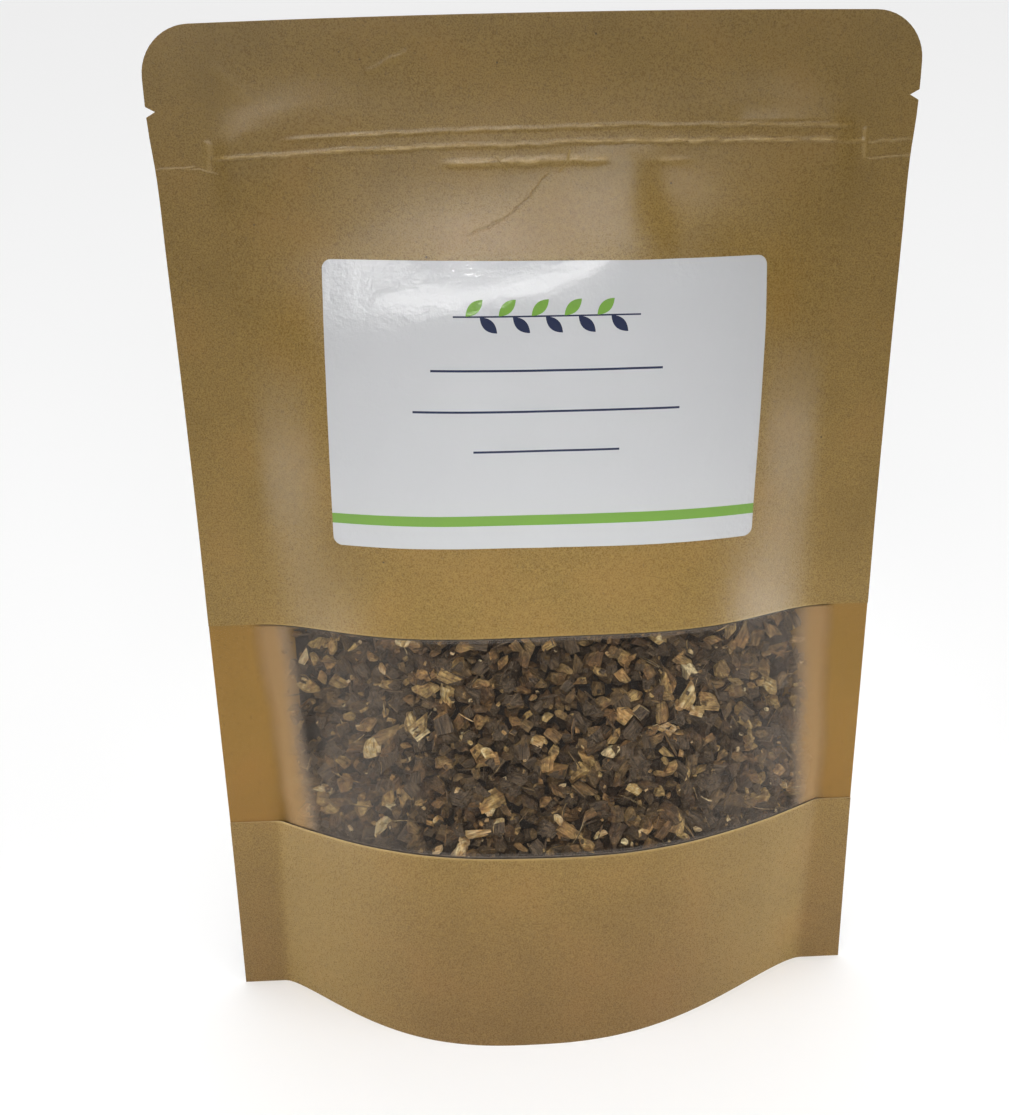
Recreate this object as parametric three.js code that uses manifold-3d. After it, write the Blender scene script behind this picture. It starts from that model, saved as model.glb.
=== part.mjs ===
// A filled stand-up pouch: kraft-paper panels with a clear window, a folded bottom gusset,
// a press-to-close zipper and a paper label, holding dried root that is cut to chips.
//
// Millimetres, +Z up. The pouch stands on z = 0 with its front towards -Y and the origin on the
// ground under its middle. Front and back bulge alike, and meet at y = 0 in the side seals.

import * as THREE from "three";
import { mergeVertices } from "three/addons/utils/BufferGeometryUtils.js";
import Module from "manifold-3d";

const wasm = await Module();
wasm.setup();

// Walls and clearances
const PANEL_WALL = 0.8; // front and back panels, and the window film between them
const GUSSET_WALL = 0.6;
const LABEL_WALL = 0.5;
const CLEARANCE = 0.3; // between two pieces that lie against each other
const SEAL_HALF_GAP = CLEARANCE / 2; // each panel's inner face from y = 0 in the side seals

// The pouch
const HEIGHT = 235;
const SEAL_WIDTH = 10.5;
const CORNER_RADIUS = 9.5;
const NOTCH = { z: 218, depth: 1.9, halfHeight: 1.1 };
const WINDOW = { low: 47.8, high: 101.7 };

// The filled shape, level by level from the ground up. depth is how far the middle of a panel
// stands out past its seals, and half is half the pouch's width. Across the width the bulge is
// depth * (1 - u^flat)^ease, with u = 0 in the middle and 1 at the seals' inner edges.
const LEVELS = [
  { z: 0, depth: 28.4, flat: 2.5, ease: 1.4, half: 77.5 },
  { z: 48, depth: 20.8, flat: 2.5, ease: 1.4, half: 77.5 },
  { z: 75, depth: 16.4, flat: 3.2, ease: 1.9, half: 77.7 },
  { z: 102, depth: 11.4, flat: 4.4, ease: 2.7, half: 77.9 },
  { z: 128, depth: 9.2, flat: 3.2, ease: 2.2, half: 78.0 },
  { z: 160, depth: 6.4, flat: 2.6, ease: 1.8, half: 78.4 },
  { z: 188, depth: 3.4, flat: 2.4, ease: 1.5, half: 78.9 },
  { z: 204, depth: 1.5, flat: 2.4, ease: 1.4, half: 79.2 },
  { z: 216, depth: 0.7, flat: 2.4, ease: 1.4, half: 80 },
  { z: 236, depth: 0.5, flat: 2.4, ease: 1.4, half: 80 },
];

// The closed zipper behind the panels. Its two strips lift them, and its profile shows as ridges.
const ZIPPER = {
  low: 203.5,
  high: 214,
  halfLength: 64,
  fade: 4, // height over which a panel eases back to its level above and below
  endFade: 3, // and length past the strips' ends
  lift: 2.2, // inner half space that the two strips need
  strip: 0.6,
  ridges: [209.2, 212.4],
  ridgeHeight: 0.35,
};

// The bottom gusset: a flat floor in the middle, whose fold climbs towards the side seals
const GUSSET = {
  halfLength: 63,
  foldHeight: 38, // of the fold at its ends
  climb: 1.7, // power of the fold's rise along the gusset
  flatHalfLength: 25,
  flatShare: 0.36, // of the floor's width that is flat
  skirt: 4, // height of the seal above the fold, in the middle
  endSkirt: 1.2, // and at the ends
};

// The label, a little askew
const LABEL = { width: 95, height: 63.5, radius: 2.4, x: 1, z: 154.5, turn: -0.9 };

// The contents
const ROOT = {
  halfLength: 60,
  topMiddle: 113,
  topEnds: 101,
  chipSpace: 3.4, // between the core and the walls, filled by the chips
  topChipSpace: 2, // between the core's top and the heap's
  wallSpace: 0.6, // kept free between the chips and the walls
  thinnest: 0.4, // half the core's thickness at its ends
  thinnestChip: 1, // half the room that a chip needs
  seed: 7,
};

// Colours, roughness and metalness of the pieces
const FINISHES = {
  kraft: { color: 0xa08660, roughness: 0.55, metalness: 0 },
  film: { color: 0xd8d4c8, roughness: 0.15, metalness: 0, transparent: true, opacity: 0.35 },
  zipper: { color: 0xd9d6cc, roughness: 0.35, metalness: 0 },
  label: { color: 0xdcdde2, roughness: 0.3, metalness: 0 },
  root: { color: 0x6b5236, roughness: 0.85, metalness: 0 },
};

// ---- the surface of the filled pouch ----

// A smooth value between the levels: a cubic through them with the slope of their neighbours
function levelValue(key, z) {
  let i = 0;
  while (i < LEVELS.length - 2 && z > LEVELS[i + 1].z) i += 1;
  const slope = (a, b) => (b[key] - a[key]) / (b.z - a.z);
  const [low, high] = [LEVELS[i], LEVELS[i + 1]];
  const here = slope(low, high);
  const startSlope = i > 0 ? (here + slope(LEVELS[i - 1], low)) / 2 : here;
  const endSlope = i < LEVELS.length - 2 ? (here + slope(high, LEVELS[i + 2])) / 2 : here;
  const span = high.z - low.z;
  const t = THREE.MathUtils.clamp((z - low.z) / span, 0, 1);
  const rise = t * t * (3 - 2 * t);
  return (
    low[key] * (1 - rise) +
    high[key] * rise +
    span * t * (1 - t) * (startSlope * (1 - t) - endSlope * t)
  );
}

const halfWidth = (z) => levelValue("half", z);

// 1 over the zipper's height and length, easing to 0 past its edges
function zipperShare(x, z) {
  const { low, high, halfLength, fade, endFade } = ZIPPER;
  const ease = THREE.MathUtils.smoothstep;
  const upright = ease(z, low - fade, low) * (1 - ease(z, high, high + fade));
  return upright * (1 - ease(Math.abs(x), halfLength, halfLength + endFade));
}

function ridgeLift(x, z) {
  const nearest = Math.min(...ZIPPER.ridges.map((ridge) => Math.abs(z - ridge)));
  return ZIPPER.ridgeHeight * Math.max(0, 1 - nearest) * zipperShare(x, z);
}

// Distance of a panel's inner face from y = 0
function innerDepth(x, z) {
  const u = Math.min(1, Math.abs(x) / (halfWidth(z) - SEAL_WIDTH));
  const bulge =
    levelValue("depth", z) * (1 - u ** levelValue("flat", z)) ** levelValue("ease", z);
  const filled = SEAL_HALF_GAP + Math.max(0, bulge);
  return Math.max(filled, SEAL_HALF_GAP + ZIPPER.lift * zipperShare(x, z));
}

const outerDepth = (x, z) => innerDepth(x, z) + PANEL_WALL + ridgeLift(x, z);

// ---- solids ----

function toSolid(geometry) {
  const bare = geometry.index ? geometry.toNonIndexed() : geometry.clone();
  bare.deleteAttribute("normal");
  bare.deleteAttribute("uv");
  const merged = mergeVertices(bare, 1e-5);
  return new wasm.Manifold(
    new wasm.Mesh({
      numProp: 3,
      vertProperties: new Float32Array(merged.attributes.position.array),
      triVerts: new Uint32Array(merged.index.array),
    }),
  );
}

function toGeometry(solid) {
  const { vertProperties, triVerts } = solid.getMesh();
  const geometry = new THREE.BufferGeometry();
  geometry.setAttribute("position", new THREE.BufferAttribute(vertProperties, 3));
  geometry.setIndex(new THREE.BufferAttribute(triVerts, 1));
  const faceted = geometry.toNonIndexed();
  faceted.computeVertexNormals();
  return faceted;
}

function indexedGeometry(points, triangles) {
  const geometry = new THREE.BufferGeometry().setFromPoints(points);
  geometry.setIndex(triangles);
  return geometry;
}

// A closed body from rings of points, all of one length, joined in turn and capped at both ends.
// Each cap is a fan of its ring's two halves, so a ring lists one side and then the other, and
// point k of one side faces point k of the other.
function loft(rings) {
  const size = rings[0].length;
  const triangles = [];
  const quad = (a, b, c, d) => triangles.push(a, b, c, a, c, d);
  rings.slice(1).forEach((_, i) => {
    for (let j = 0; j < size; j += 1) {
      const next = (j + 1) % size;
      quad(i * size + j, i * size + next, (i + 1) * size + next, (i + 1) * size + j);
    }
  });
  const last = (rings.length - 1) * size;
  for (let j = 0; j < size / 2 - 1; j += 1) {
    const facing = size - 1 - j;
    quad(j, facing, facing - 1, j + 1);
    quad(last + j, last + j + 1, last + facing - 1, last + facing);
  }
  return toSolid(indexedGeometry(rings.flat(), triangles));
}

// A curved sheet over x and z: side -1 is the front and 1 the back, and near and far give its two
// faces' distances from y = 0
function sheet(side, xs, zs, near, far) {
  const rings = xs.map((x) => {
    const upwards = side < 0 ? zs : [...zs].reverse();
    const nearRow = upwards.map((z) => new THREE.Vector3(x, side * near(x, z), z));
    const farRow = upwards.map((z) => new THREE.Vector3(x, side * far(x, z), z)).reverse();
    return [...nearRow, ...farRow];
  });
  return loft(rings);
}

// The flat shape, drawn over x and z, pushed through the whole depth on one side of y = 0
function cutter(shape, side) {
  const reach = 80;
  const geometry = new THREE.ExtrudeGeometry(shape, {
    depth: reach,
    bevelEnabled: false,
    curveSegments: 5,
  });
  geometry.rotateX(Math.PI / 2);
  if (side > 0) geometry.translate(0, reach, 0);
  return toSolid(geometry);
}

function finish(name, geometry, finishName) {
  const mesh = new THREE.Mesh(geometry, new THREE.MeshStandardMaterial(FINISHES[finishName]));
  mesh.name = name;
  return mesh;
}

// ---- panels ----

// Columns are closer together where the bulge turns most, and the last is past the pouch's edge
const COLUMN_STEPS = [0, 13, 25, 35, 43.5, 51, 57.5, 63, 67, 81];
const COLUMNS = [...COLUMN_STEPS.slice(1).map((x) => -x).reverse(), ...COLUMN_STEPS];

const LOWER_ROWS = [0, 12, 24, 36, WINDOW.low];
const WINDOW_ROWS = [58, 68, 79, 90];
const FILLED_ROWS = [WINDOW.high, 112, 124, 138, 155, 172, 188];
const RIDGE_ROWS = ZIPPER.ridges.flatMap((z) => [z - 1, z, z + 1]);
const ZIPPER_ROWS = [ZIPPER.low - ZIPPER.fade, ZIPPER.low, ZIPPER.high, ZIPPER.high + ZIPPER.fade];
const BACK_ROWS = [...LOWER_ROWS, 61, 75, 88, WINDOW.high, 114, 128, 144, 160, 188, ...ZIPPER_ROWS];

// The outline of a panel between two heights. At the top of the pouch it has rounded corners and
// a tear notch in each side.
function panelOutline(low, high) {
  const steps = [0, 48, 102, 160, 204, 216].filter((z) => z > low && z < high);
  const side = [low, ...steps].map((z) => new THREE.Vector2(halfWidth(z), z));
  const shape = new THREE.Shape();
  shape.moveTo(-halfWidth(low), low);
  side.forEach((point) => shape.lineTo(point.x, point.y));
  if (high < HEIGHT) {
    shape.lineTo(halfWidth(high), high);
    shape.lineTo(-halfWidth(high), high);
  } else {
    const edge = halfWidth(HEIGHT);
    const corner = [edge - CORNER_RADIUS, HEIGHT - CORNER_RADIUS];
    shape.lineTo(edge, NOTCH.z - NOTCH.halfHeight);
    shape.lineTo(edge - NOTCH.depth, NOTCH.z);
    shape.lineTo(edge, NOTCH.z + NOTCH.halfHeight);
    shape.lineTo(edge, corner[1]);
    shape.absarc(...corner, CORNER_RADIUS, 0, Math.PI / 2);
    shape.absarc(-corner[0], corner[1], CORNER_RADIUS, Math.PI / 2, Math.PI);
    shape.lineTo(-edge, NOTCH.z + NOTCH.halfHeight);
    shape.lineTo(-edge + NOTCH.depth, NOTCH.z);
    shape.lineTo(-edge, NOTCH.z - NOTCH.halfHeight);
  }
  side.reverse().forEach((point) => shape.lineTo(-point.x, point.y));
  return shape;
}

function panel(side, low, high, rows) {
  const top = high < HEIGHT ? high : HEIGHT + 1;
  const zs = [low, ...rows.filter((z) => z > low && z < high), top].sort((a, b) => a - b);
  const whole = sheet(side, COLUMNS, zs, innerDepth, outerDepth);
  return toGeometry(whole.intersect(cutter(panelOutline(low, high), side)));
}

function makePanels() {
  const half = CLEARANCE / 2;
  const frontRows = [...FILLED_ROWS, ...ZIPPER_ROWS, ...RIDGE_ROWS];
  const panels = new THREE.Group();
  panels.add(
    finish("pouch_front_lower", panel(-1, 0, WINDOW.low - half, LOWER_ROWS), "kraft"),
    finish("window_film", panel(-1, WINDOW.low + half, WINDOW.high - half, WINDOW_ROWS), "film"),
    finish("pouch_front_upper", panel(-1, WINDOW.high + half, HEIGHT, frontRows), "kraft"),
    finish("pouch_back", panel(1, 0, HEIGHT, BACK_ROWS), "kraft"),
  );
  return panels;
}

// ---- bottom gusset ----

const alongGusset = (x) =>
  Math.max(0, (Math.abs(x) - GUSSET.flatHalfLength) / (GUSSET.halfLength - GUSSET.flatHalfLength));

// Height of the middle of the gusset's floor, and of its seal to the panels
const foldHeight = (x) => GUSSET.foldHeight * alongGusset(x) ** GUSSET.climb;
const sealHeight = (x) =>
  foldHeight(x) + THREE.MathUtils.lerp(GUSSET.skirt, GUSSET.endSkirt, alongGusset(x));

// Height of the floor's underside at a share t of the way from its middle to its legs
function floorHeight(x, t) {
  const climb = THREE.MathUtils.smoothstep(Math.abs(t), GUSSET.flatShare, 1);
  return foldHeight(x) + (sealHeight(x) - foldHeight(x)) * climb;
}

const legDepth = (x, z) => innerDepth(x, z) - CLEARANCE;

// One section across the gusset, from the front leg's foot over the floor to the back leg's
function gussetRing(x) {
  const shares = [-1, -0.8, -0.6, -GUSSET.flatShare, GUSSET.flatShare, 0.6, 0.8, 1];
  const seal = sealHeight(x);
  const under = (y, z) => new THREE.Vector3(x, y, z);
  const leg = [0, 0.5].map((share) => share * seal);
  const inside = (z) => legDepth(x, z) - GUSSET_WALL;
  const lower = [
    ...leg.map((z) => under(-inside(z), z)),
    ...shares.map((t) => under(t * inside(seal), floorHeight(x, t))),
    ...leg.map((z) => under(inside(z), z)).reverse(),
  ];
  const upper = [
    ...leg.map((z) => under(-legDepth(x, z), z)),
    ...shares.map((t) => under(t * legDepth(x, seal), floorHeight(x, t) + GUSSET_WALL)),
    ...leg.map((z) => under(legDepth(x, z), z)).reverse(),
  ];
  return [...lower, ...upper.reverse()];
}

function makeGusset() {
  const columns = COLUMNS.filter((x) => Math.abs(x) <= GUSSET.halfLength);
  return finish("bottom_gusset", toGeometry(loft(columns.map(gussetRing))), "kraft");
}

// ---- zipper ----

// The two strips face each other over y = 0. The rib's arrow head sits between the groove's hooks.
const STRIP_FACE = SEAL_HALF_GAP + ZIPPER.lift - CLEARANCE; // a strip's outer face from y = 0
const STRIP_INNER = STRIP_FACE - ZIPPER.strip;
const FLANGE_MARGIN = 0.5; // between a strip's edge and the end of the panels' relief
const RIB = { neck: 0.35, head: 0.75, tip: 0.1, shoulder: 0.1, reach: 0.65 };
const HOOK = { inner: 1.1, outer: 1.8, reach: 0.9 };

function zipperStrip(name, side, profile) {
  const shape = new THREE.Shape(profile.map(([depth, height]) => new THREE.Vector2(depth, height)));
  const geometry = new THREE.ExtrudeGeometry(shape, {
    depth: 2 * (ZIPPER.halfLength - 1),
    bevelEnabled: false,
  });
  // The section's depth runs along +Y and its height along +Z, and the length along +X
  geometry.applyMatrix4(
    new THREE.Matrix4().makeBasis(
      new THREE.Vector3(0, 1, 0),
      new THREE.Vector3(0, 0, 1),
      new THREE.Vector3(1, 0, 0),
    ),
  );
  const strip = finish(name, geometry, "zipper");
  strip.position.set(1 - ZIPPER.halfLength, side * STRIP_FACE, (ZIPPER.low + ZIPPER.high) / 2);
  return strip;
}

function makeZipper() {
  const flange = (ZIPPER.high - ZIPPER.low) / 2 - FLANGE_MARGIN;
  const wall = ZIPPER.strip;
  const toShoulder = STRIP_FACE - RIB.shoulder;
  const toTip = STRIP_FACE + RIB.reach;
  const rib = [
    [0, -flange],
    [wall, -flange],
    [wall, -RIB.neck],
    [toShoulder, -RIB.neck],
    [toShoulder, -RIB.head],
    [toTip, -RIB.tip],
    [toTip, RIB.tip],
    [toShoulder, RIB.head],
    [toShoulder, RIB.neck],
    [wall, RIB.neck],
    [wall, flange],
    [0, flange],
  ];
  const hookTip = -wall - HOOK.reach;
  const groove = [
    [0, flange],
    [-wall, flange],
    [-wall, HOOK.outer],
    [hookTip, HOOK.outer],
    [hookTip, HOOK.inner],
    [-wall, HOOK.inner],
    [-wall, -HOOK.inner],
    [hookTip, -HOOK.inner],
    [hookTip, -HOOK.outer],
    [-wall, -HOOK.outer],
    [-wall, -flange],
    [0, -flange],
  ];
  const zipper = new THREE.Group();
  zipper.add(zipperStrip("zipper_rib", -1, rib), zipperStrip("zipper_groove", 1, groove));
  return zipper;
}

// ---- label ----

function makeLabel() {
  const { width, height, radius, x, z, turn } = LABEL;
  const [w, h] = [width / 2 - radius, height / 2 - radius];
  const shape = new THREE.Shape();
  shape.absarc(w, h, radius, 0, Math.PI / 2);
  shape.absarc(-w, h, radius, Math.PI / 2, Math.PI);
  shape.absarc(-w, -h, radius, Math.PI, 1.5 * Math.PI);
  shape.absarc(w, -h, radius, 1.5 * Math.PI, 2 * Math.PI);
  const outline = cutter(shape, -1).rotate([0, -turn, 0]).translate([x, 0, z]);
  const columns = [-51, -43.5, -35, -25, -13, 0, 13, 25, 35, 43.5, 51];
  const rows = [122, 124, 138, 155, 172, 189];
  const underside = (px, pz) => outerDepth(px, pz) + CLEARANCE;
  const face = (px, pz) => underside(px, pz) + LABEL_WALL;
  const whole = sheet(-1, columns, rows, underside, face);
  return finish("label", toGeometry(whole.intersect(outline)), "label");
}

// ---- contents ----

// A small seeded generator of numbers from 0 to 1
function seededRandom(seed) {
  let state = seed;
  return () => {
    state = (state + 0x6d2b79f5) | 0;
    let mixed = Math.imul(state ^ (state >>> 15), 1 | state);
    mixed = (mixed + Math.imul(mixed ^ (mixed >>> 7), 61 | mixed)) ^ mixed;
    return ((mixed ^ (mixed >>> 14)) >>> 0) / 4294967296;
  };
}

const CORNER_SHIFT = 0.14; // how far a chip's corners move, as a share of its size
const CHIP_TILT = 0.7; // radians out of flat
const CHIPS = {
  front: { step: 6.3, size: 5.4, low: WINDOW.low - 3 },
  back: { step: 12, size: 7, low: 40 },
  top: { step: 8, size: 6.5 },
  placeShift: 0.18, // of a step, either way
};

const random = seededRandom(ROOT.seed);
const between = (low, high) => low + (high - low) * random();

// Distance from y = 0 to a surface that keeps a space to the walls, as they are faceted between
// two columns; thin at the heap's ends
function wallDepth(x, z, space) {
  const next = COLUMNS.findIndex((column) => column > x);
  const [left, right] = [COLUMNS[next - 1], COLUMNS[next]];
  const share = (x - left) / (right - left);
  const facet = THREE.MathUtils.lerp(innerDepth(left, z), innerDepth(right, z), share);
  return Math.max(ROOT.thinnest, facet - space);
}

function heapHeight(x) {
  const u = Math.abs(x) / ROOT.halfLength;
  return ROOT.topMiddle - (ROOT.topMiddle - ROOT.topEnds) * u ** 2;
}

// One section across the core of the heap: its underside follows the gusset's floor
function coreRing(x) {
  const shares = [-1, -0.6, -GUSSET.flatShare, GUSSET.flatShare, 0.6, 1];
  const lift = GUSSET_WALL + ROOT.wallSpace;
  const space = ROOT.chipSpace;
  const foot = floorHeight(x, 1) + lift;
  const top = heapHeight(x) - ROOT.topChipSpace;
  const heights = [0.2, 0.4, 0.6, 0.8, 1].map((share) => foot + share * (top - foot));
  const under = shares.map(
    (t) => new THREE.Vector3(x, t * wallDepth(x, foot, space), floorHeight(x, t) + lift),
  );
  const wall = (side) => heights.map((z) => new THREE.Vector3(x, side * wallDepth(x, z, space), z));
  return [...wall(-1).reverse(), ...under, ...wall(1)];
}

const triple = (low, high) => new THREE.Vector3(...[0, 1, 2].map(() => between(low, high)));

// A cut chip that lies flat, give or take a tilt: a three-sided slice or a double wedge with every
// corner moved at random
function chipGeometry(size) {
  const slice = new THREE.CylinderGeometry(0.75, 0.6, 1, 3).rotateX(Math.PI / 2);
  const base = random() < 0.5 ? slice : new THREE.OctahedronGeometry(0.75);
  base.deleteAttribute("normal");
  base.deleteAttribute("uv");
  const chip = mergeVertices(base, 1e-4);
  const stretch = new THREE.Vector3(between(0.85, 1.35), between(0.6, 1), between(0.5, 0.8));
  const [nod, roll] = [between(-CHIP_TILT, CHIP_TILT), between(-CHIP_TILT, CHIP_TILT)];
  const tilt = new THREE.Euler(nod, roll, between(0, Math.PI));
  const { position } = chip.attributes;
  for (let i = 0; i < position.count; i += 1) {
    const corner = new THREE.Vector3().fromBufferAttribute(position, i);
    corner.add(triple(-CORNER_SHIFT, CORNER_SHIFT)).multiply(stretch).multiplyScalar(size).applyEuler(tilt);
    position.setXYZ(i, ...corner);
  }
  return chip;
}

// How far inside one wall's space a chip's furthest corner lies
function slackTo(side, chip) {
  const { position } = chip.attributes;
  let slack = Infinity;
  for (let i = 0; i < position.count; i += 1) {
    const limit = wallDepth(position.getX(i), position.getZ(i), ROOT.wallSpace);
    slack = Math.min(slack, limit - side * position.getY(i));
  }
  return slack;
}

const ROUNDING = 1e-6;
const isClear = (chip) => Math.min(slackTo(-1, chip), slackTo(1, chip)) > -ROUNDING;

// Stands a chip up flat against a wall; near the side seals it is a thin one
function pressToWall(chip, x, z, side) {
  chip.rotateX(Math.PI / 2);
  chip.computeBoundingBox();
  const thickness = chip.boundingBox.max.y - chip.boundingBox.min.y;
  chip.scale(1, Math.min(1, (1.7 * wallDepth(x, z, ROOT.wallSpace)) / thickness), 1);
  chip.translate(x, 0, z);
  return chip.translate(0, side * slackTo(side, chip), 0);
}

// Chips over one wall of the heap: a jittered grid with every other row moved by half a step
function wallChips(side, { step, size, low }) {
  const chips = [];
  const rowStep = step * Math.sin(Math.PI / 3);
  const moved = (value) => value + between(-CHIPS.placeShift, CHIPS.placeShift) * step;
  for (let row = 0, z = low; z < ROOT.topMiddle; row += 1, z += rowStep) {
    const shift = (row % 2) * 0.5 * step;
    for (let x = -ROOT.halfLength + shift; x <= ROOT.halfLength; x += step) {
      const place = { x: moved(x), z: moved(z) };
      const overFloor = place.z > sealHeight(place.x) + size / 2;
      const inHeap = overFloor && place.z < heapHeight(place.x);
      if (!inHeap || wallDepth(place.x, place.z, ROOT.wallSpace) < ROOT.thinnestChip) continue;
      chips.push(pressToWall(chipGeometry(size * between(0.8, 1.2)), place.x, place.z, side));
    }
  }
  return chips.filter(isClear);
}

// Chips on the heap's top, which lie as they fell
function topChips({ step, size }) {
  const chips = [];
  for (let x = -ROOT.halfLength + step; x < ROOT.halfLength - step / 2; x += step) {
    const reach = wallDepth(x, heapHeight(x), ROOT.wallSpace + 0.8 * size);
    if (reach <= ROOT.thinnest) continue;
    for (let y = -reach; y <= reach; y += step) {
      const z = heapHeight(x) - ROOT.topChipSpace + between(0, 0.2) * size;
      chips.push(chipGeometry(size * between(0.8, 1.1)).translate(x, y, z));
    }
  }
  return chips.filter(isClear);
}

function makeContents() {
  const inside = COLUMNS.filter((x) => Math.abs(x) < ROOT.halfLength);
  let heap = loft([-ROOT.halfLength, ...inside, ROOT.halfLength].map(coreRing));
  const chips = [
    ...wallChips(-1, CHIPS.front),
    ...wallChips(1, CHIPS.back),
    ...topChips(CHIPS.top),
  ];
  chips.forEach((chip) => {
    heap = heap.add(toSolid(chip));
  });
  // Hollows that the chips close off, and scraps, are left out: only the heap's own skin stays
  const [skin] = heap.decompose().sort((a, b) => b.volume() - a.volume());
  return finish("cut_root", toGeometry(skin), "root");
}

const pouch = new THREE.Group();
pouch.add(makePanels(), makeGusset(), makeZipper(), makeLabel(), makeContents());

export default pouch;
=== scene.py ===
import math
import random

import bpy
from mathutils import Matrix, Vector, noise


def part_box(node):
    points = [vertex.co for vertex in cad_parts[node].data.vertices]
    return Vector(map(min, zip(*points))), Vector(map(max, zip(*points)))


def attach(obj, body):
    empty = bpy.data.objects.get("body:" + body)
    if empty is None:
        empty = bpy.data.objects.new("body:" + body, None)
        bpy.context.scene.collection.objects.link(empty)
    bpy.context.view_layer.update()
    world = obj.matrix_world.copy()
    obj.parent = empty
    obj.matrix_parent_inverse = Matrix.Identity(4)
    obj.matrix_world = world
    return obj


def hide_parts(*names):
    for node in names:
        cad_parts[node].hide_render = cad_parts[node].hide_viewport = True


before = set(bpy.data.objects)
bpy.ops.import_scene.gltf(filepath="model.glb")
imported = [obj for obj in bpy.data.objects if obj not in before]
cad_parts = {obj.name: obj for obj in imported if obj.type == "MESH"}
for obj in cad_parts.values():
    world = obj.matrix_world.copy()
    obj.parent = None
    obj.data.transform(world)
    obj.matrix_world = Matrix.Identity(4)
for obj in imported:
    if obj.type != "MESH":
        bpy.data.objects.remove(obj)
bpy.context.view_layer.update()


# ---- Back panel ----
# The back is one sheet of kraft paper laminated to a sealing film, about 0.2 mm thick. It is cut
# flat with rounded top corners and a tear notch in each side, and bulges once the pouch is
# filled. Its inner face, which shows through the window, is warmer and glossier.
MM = 0.001
back_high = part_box("pouch_back")[1]
pouch_height = back_high.z / MM
flat_half_width = back_high.x / MM
corner_radius = 10.0
rim_droop = 0.9  # how much lower the top edge is cut at both corners
notch_height, notch_depth, notch_half = 218.0, 1.9, 1.1
paper_thickness, film_thickness = 0.2, 0.08
seal_face = 0.3  # the paper's outer face from the middle plane, in the side seals

# Level by level from the ground up: how far the middle bulges past the seals, how flat and how
# steep the bulge is across the width, the pouch's half width, and the widths of both side seals
pouch_levels = [
    dict(z=0, depth=29.13, flat=2.5, ease=1.4, half=77.5, left=10.5, right=10.5),
    dict(z=48, depth=21.53, flat=2.3, ease=1.06, half=77.5, left=12.3, right=8.8),
    dict(z=75, depth=17.13, flat=2.55, ease=1.28, half=77.7, left=13.3, right=9.0),
    dict(z=102, depth=12.13, flat=4.0, ease=2.3, half=77.9, left=11.5, right=9.8),
    dict(z=128, depth=9.93, flat=3.2, ease=2.2, half=78.0, left=10.5, right=10.5),
    dict(z=160, depth=7.13, flat=2.6, ease=1.8, half=78.4, left=10.5, right=10.5),
    dict(z=188, depth=4.3, flat=2.4, ease=1.5, half=78.9, left=10.5, right=10.5),
    dict(z=204, depth=2.0, flat=2.4, ease=1.4, half=79.2, left=10.5, right=10.5),
    dict(z=216, depth=1.0, flat=2.4, ease=1.4, half=80.0, left=10.5, right=10.5),
    dict(z=236, depth=1.5, flat=2.4, ease=1.4, half=80.0, left=10.5, right=10.5),
]
base_shift = 5.0  # the filling has settled a little to the left at the foot
zipper_low, zipper_high = 203.5, 214.0
zipper_half_length, zipper_reach = 63.2, 68.0  # half of its length, with and without its ends
zipper_lift = 0.9
# The pressed-through lines of the zipper: height in the middle, lift, both ends and half the width
zipper_ridges = [
    (209.5, 0.5, -68.4, 70.5, 0.55),
    (212.6, 0.26, -53, 68, 0.5),
    (206.0, 0.34, -20, 16, 1.15),
    (205.6, 0.24, 22, 33, 0.8),
    (213.7, 0.14, 38, 58, 0.4),
]


def ease(low, high, value):
    share = min(1.0, max(0.0, (value - low) / (high - low)))
    return share * share * (3 - 2 * share)


def level_value(key, z):
    last = len(pouch_levels) - 2
    i = max(0, min(last, sum(z > level["z"] for level in pouch_levels) - 1))

    def slope(a, b):
        return (b[key] - a[key]) / (b["z"] - a["z"])

    low, high = pouch_levels[i], pouch_levels[i + 1]
    here = slope(low, high)
    start = (here + slope(pouch_levels[i - 1], low)) / 2 if i > 0 else here
    end = (here + slope(high, pouch_levels[i + 2])) / 2 if i < last else here
    span = high["z"] - low["z"]
    t = min(1.0, max(0.0, (z - low["z"]) / span))
    rise = t * t * (3 - 2 * t)
    level = low[key] * (1 - rise) + high[key] * rise
    return level + span * t * (1 - t) * (start * (1 - t) - end * t)


def zipper_share(x, z):
    upright = ease(zipper_low - 12, zipper_low, z) * (1 - ease(zipper_high, zipper_high + 22, z))
    flat_end = zipper_half_length - 34 * ease(zipper_high - 4, zipper_high + 14, z)
    return upright * (1 - ease(flat_end, zipper_half_length + 5, abs(x)))


def zipper_ridge(x, z, height, lift, left, right, half_width):
    """One crinkled line of the zipper's profile, pressed through the paper."""
    crinkle = 0.25 + 0.3 * ease(-25, 0, x) * (1 - ease(35, 50, x))
    crinkle *= noise.noise(Vector((x / 3.2, height, 0)))
    line = height - 1.2 * (x / zipper_reach) ** 2 + 0.4 * x / zipper_reach + crinkle
    off = abs(z - line) / half_width
    if off >= 1 or not left < x < right:
        return 0.0
    uneven = 0.85 + 1.0 * noise.noise(Vector((x / 4, height, 3)))
    ends = ease(left, left + 4, x) * (1 - ease(right - 4, right, x))
    return lift * uneven * ends * (1 - off * off) ** 2


def zipper_relief(x, z):
    return sum(zipper_ridge(x, z, *ridge) for ridge in zipper_ridges)


def dents(x, z, side):
    """Shallow hollows and swells of handled paper, fading out in the seals and at the rim."""
    place = Vector((x / 38, z / 30, 4.0 * side))
    fine = Vector((x / 13, z / 17, 9.0 * side))
    swell = 0.5 * noise.noise(place) + 0.14 * noise.noise(fine)
    swell *= 1 - 0.85 * ease(202, 220, z)
    return swell * (1 - ease(0.75, 1.0, abs(x) / 67)) * ease(4, 30, z)


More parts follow.
